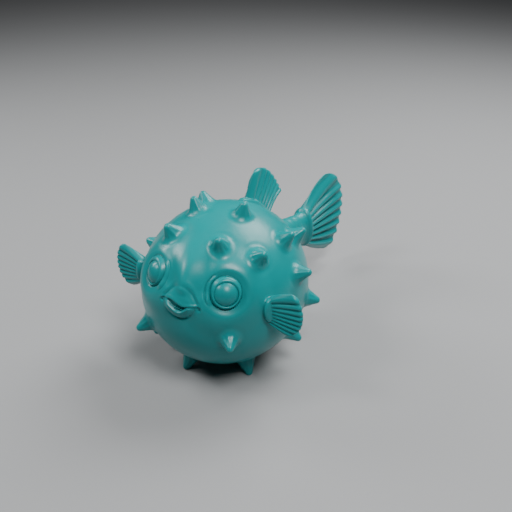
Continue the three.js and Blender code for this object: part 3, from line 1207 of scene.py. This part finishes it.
    def on_fine_lines(self, points: Array) -> Array:
        """Says which points are where a lid or lip ends in a sharp step.

        Args:
            points: places in ball space.

        Returns:
            A flag for each point.
        """
        wanted = np.zeros(len(points), bool)
        for eye in self.eyes:
            out = np.hypot(*into(eye.place, points).T[:2])
            first, last = eye.lid_out - eye.nose_trim - self.lid_band, eye.lid_out_top + self.lid_band
            wanted |= (np.abs(out - eye.opening) < self.edge_band) | (out > first) & (out < last)
        x, y, _ = into(self.mouth.place, points).T
        near_mouth = nearest(points, [self.mouth.middle]) < self.fine_reach
        low, high = self.mouth.crest(x) - self.edge_band, self.mouth.upper_edge(x) + self.edge_band
        lips = (y > low) & (y < high)
        front = points[:, 1] < 0.0
        return front & (wanted | (near_mouth & lips & (np.abs(x) < self.lips_half)))

    def add_face(self, bm: BMesh) -> None:
        """Raises the lids, the nose bridge and the lips on the settled net, and eases their steps.

        Args:
            bm: the settled net.
        """
        points = coords_of(bm)
        total = np.zeros_like(points)
        for form in (*self.eyes, self.bridge, self.mouth):
            near = nearest(points, [form.middle]) < form.reach
            total[near] += form.lift_off(points[near])
        move_to(bm, points + total)
        smooth(bm, self.from_face(points) < self.fine_reach, 0.35, 2)

    def cut_feet(self, bm: BMesh) -> None:
        """Cuts the foot spines flat at ground level."""
        geom = bm.verts[:] + bm.edges[:] + bm.faces[:]
        level = Vector((0.0, 0.0, self.ball.ground))
        cut = bmesh.ops.bisect_plane(bm, geom=geom, plane_co=level, plane_no=-UP, clear_outer=True)
        rims = [part for part in cut["geom_cut"] if isinstance(part, bmesh.types.BMEdge)]
        bmesh.ops.holes_fill(bm, edges=rims, sides=0)

    def skin(self) -> Piece:
        """Joins the fins to the body as one mesh in the row frame.

        Returns:
            The skin.
        """
        skin = self.body()
        log.info("body net: %d faces", len(skin.data.polygons))
        fans = [fin.build() for fin in self.fins]
        for fan in fans:
            join = skin.modifiers.new("join", "BOOLEAN")
            join.operation = "UNION"
            join.solver = "MANIFOLD"
            join.object = fan
        apply_modifiers(skin)
        for fan in fans:
            bpy.data.objects.remove(fan)
        self.soften_joins(skin)
        skin.data.transform(self.to_row)
        skin.data.shade_smooth()
        return skin

    def soften_joins(self, skin: Piece) -> None:
        """Rounds the creases where the fans leave their collars.

        Args:
            skin: the joined mesh, in ball space.
        """
        bm = bmesh.new()
        bm.from_mesh(skin.data)
        for fin in self.fins:
            collar = fin.collar
            local = into(fin.place, coords_of(bm))
            ring = oval_gap(local[:, 0], local[:, 1], collar.half_x * 1.3, collar.half_y * 1.3)
            smooth(bm, (np.abs(local[:, 2] - collar.out) < self.join_band) & (ring < 0.0), 0.5, 3)
        bm.to_mesh(skin.data)
        bm.free()

    def eyeball(self, eye: EyeSocket) -> Piece:
        """Builds one eyeball in the row frame."""
        bm = bmesh.new()
        place = eye.place @ Matrix.Translation(-eye.sink * UP)
        bmesh.ops.create_icosphere(bm, subdivisions=5, radius=eye.ball_radius)
        bmesh.ops.transform(bm, matrix=self.to_row @ place, verts=bm.verts)
        return object_from(bm, f"eyeball_{eye.side.name.lower()}")

    def teeth(self) -> Piece:
        """Builds the row of small blunt teeth behind the lower lip.

        Returns:
            The teeth, in the row frame.
        """
        bm = bmesh.new()
        first, step = self.first_tooth, self.tooth_step
        for i in range(self.tooth_count):
            spot = Matrix.Translation((first[0] + step[0] * i, first[1] + step[1] * i, first[2]))
            made = bmesh.ops.create_icosphere(bm, subdivisions=3, radius=self.tooth_radius)["verts"]
            bmesh.ops.scale(bm, vec=(1.0, 1.0, self.tooth_tall), verts=made)
            bmesh.ops.transform(bm, matrix=self.mouth.place @ spot, verts=made)
        bmesh.ops.transform(bm, matrix=self.to_row, verts=bm.verts)
        return object_from(bm, "teeth")


# ---- studio ----


@dataclass(frozen=True)
class Lamp:
    """A square softbox aimed at the body."""

    name: str
    bearing: float
    lift: float
    distance: float
    size: float
    power: float

    def hang(self, aim: Vector) -> None:
        """Hangs the lamp round a point.

        Args:
            aim: what it shines on.
        """
        light = bpy.data.lights.new(self.name, "AREA")
        light.size = self.size
        light.energy = self.power
        lamp = bpy.data.objects.new(self.name, light)
        out = heading(self.bearing, self.lift)
        lamp.location = aim + out * self.distance
        lamp.rotation_euler = out.to_track_quat("Z", "Y").to_euler()
        bpy.context.scene.collection.objects.link(lamp)


@dataclass(frozen=True)
class Studio:
    """A pale floor, soft lights and the camera."""

    floor_half: float = 4.0
    floor_colour: Four = (0.28, 0.285, 0.29, 1.0)
    floor_roughness: float = 0.8
    sky_colour: Four = (0.9, 0.94, 1.0, 1.0)
    sky_strength: float = 0.03
    azimuth: float = 30.0
    elevation: float = 29.5
    distance: float = 8.739
    aside: float = 0.372
    above: float = 0.301
    lens: float = 50.0
    lamps: tuple = (
        Lamp("key_softbox", 60.0, 58.0, 0.6, 0.2, 3.2),
        Lamp("top_softbox", 162.0, 50.0, 0.6, 0.34, 4.5),
        Lamp("side_softbox", -86.0, 34.0, 0.6, 0.18, 1.5),
        Lamp("front_softbox", -48.0, 51.0, 0.7, 0.16, 1.7),
    )

    def floor(self) -> None:
        """Lays the pale floor."""
        bm = bmesh.new()
        bmesh.ops.create_grid(bm, x_segments=1, y_segments=1, size=self.floor_half)
        floor = object_from(bm, "floor")
        paint = bpy.data.materials.new("pale_floor")
        paint.use_nodes = True
        shader = paint.node_tree.nodes["Principled BSDF"]
        feed(shader, {"Base Color": self.floor_colour, "Roughness": self.floor_roughness})
        floor.data.materials.append(paint)

    def camera(self, middle: Vector, radius: float) -> None:
        """Sets the camera up round the ball.

        Args:
            middle: the ball's middle.
            radius: the ball's radius, which the other distances are counted in.
        """
        back = heading(self.azimuth, self.elevation)
        right = UP.cross(back).normalized()
        up = back.cross(right)
        lens = bpy.data.cameras.new("camera")
        lens.lens = self.lens
        camera = bpy.data.objects.new("camera", lens)
        away = right * self.aside + up * self.above + back * self.distance
        turn = Matrix((right, up, back)).transposed().to_4x4()
        camera.matrix_world = Matrix.Translation(middle + away * radius) @ turn
        bpy.context.scene.collection.objects.link(camera)
        bpy.context.scene.camera = camera

    def build(self, middle: Vector, radius: float) -> None:
        """Builds the floor, lamps, sky and camera.

        Args:
            middle: the ball's middle.
            radius: the ball's radius.
        """
        self.floor()
        for lamp in self.lamps:
            lamp.hang(middle)
        world = bpy.data.worlds.new("sky")
        world.use_nodes = True
        sky = {"Color": self.sky_colour, "Strength": self.sky_strength}
        feed(world.node_tree.nodes["Background"], sky)
        bpy.context.scene.world = world
        self.camera(middle, radius)


# ---- putting it together ----

# deep is painted shade for hollows and creases; pale serves the random drift and the painted highlight
# on crests.
TEAL = SatinPlastic(
    "teal_plastic", colour=(0.0, 0.22, 0.225), deep=(0.0, 0.1, 0.105), pale=(0.0, 0.3, 0.305),
    roughness=0.31)
TEAL_EYE = SatinPlastic(
    "teal_eye_plastic", colour=(0.0, 0.21, 0.215), deep=(0.0, 0.1, 0.105), pale=(0.0, 0.29, 0.295),
    roughness=0.3)


def dress(piece: Piece, material: bpy.types.Material, *nodes: str) -> None:
    """Gives a piece its finish and its body.

    Args:
        piece: the finished piece.
        material: its finish.
        nodes: the CAD nodes that it stands for.
    """
    piece.data.materials.clear()
    piece.data.materials.append(material)
    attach(piece, BODY)
    if nodes:
        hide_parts(*nodes)
    triangles = sum(len(face.vertices) - 2 for face in piece.data.polygons)
    log.info("%s: %d triangles", piece.name, triangles)


def main() -> None:
    """Builds the figurine and the studio."""
    logging.basicConfig(level=logging.INFO, format="%(message)s")
    fish = Figurine()
    group = plastic_and_painted_light_group()
    teal, eye_teal = TEAL.make(group), TEAL_EYE.make(group)
    skin = fish.skin()
    # The finish paints shade into the hollows and a highlight onto the crests that this marks.
    mark_form(skin, hollow_at=3200.0, crest_at=3500.0, spread=2)
    flesh = [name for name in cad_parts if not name.startswith("eye_")]
    dress(skin, teal, *flesh)
    for eye in fish.eyes:
        dress(fish.eyeball(eye), eye_teal, f"eye_{eye.side.name.lower()}")
    dress(fish.teeth(), eye_teal)
    Studio().build(fish.to_row.translation, fish.ball.radius)


if __name__ == "__main__":
    main()
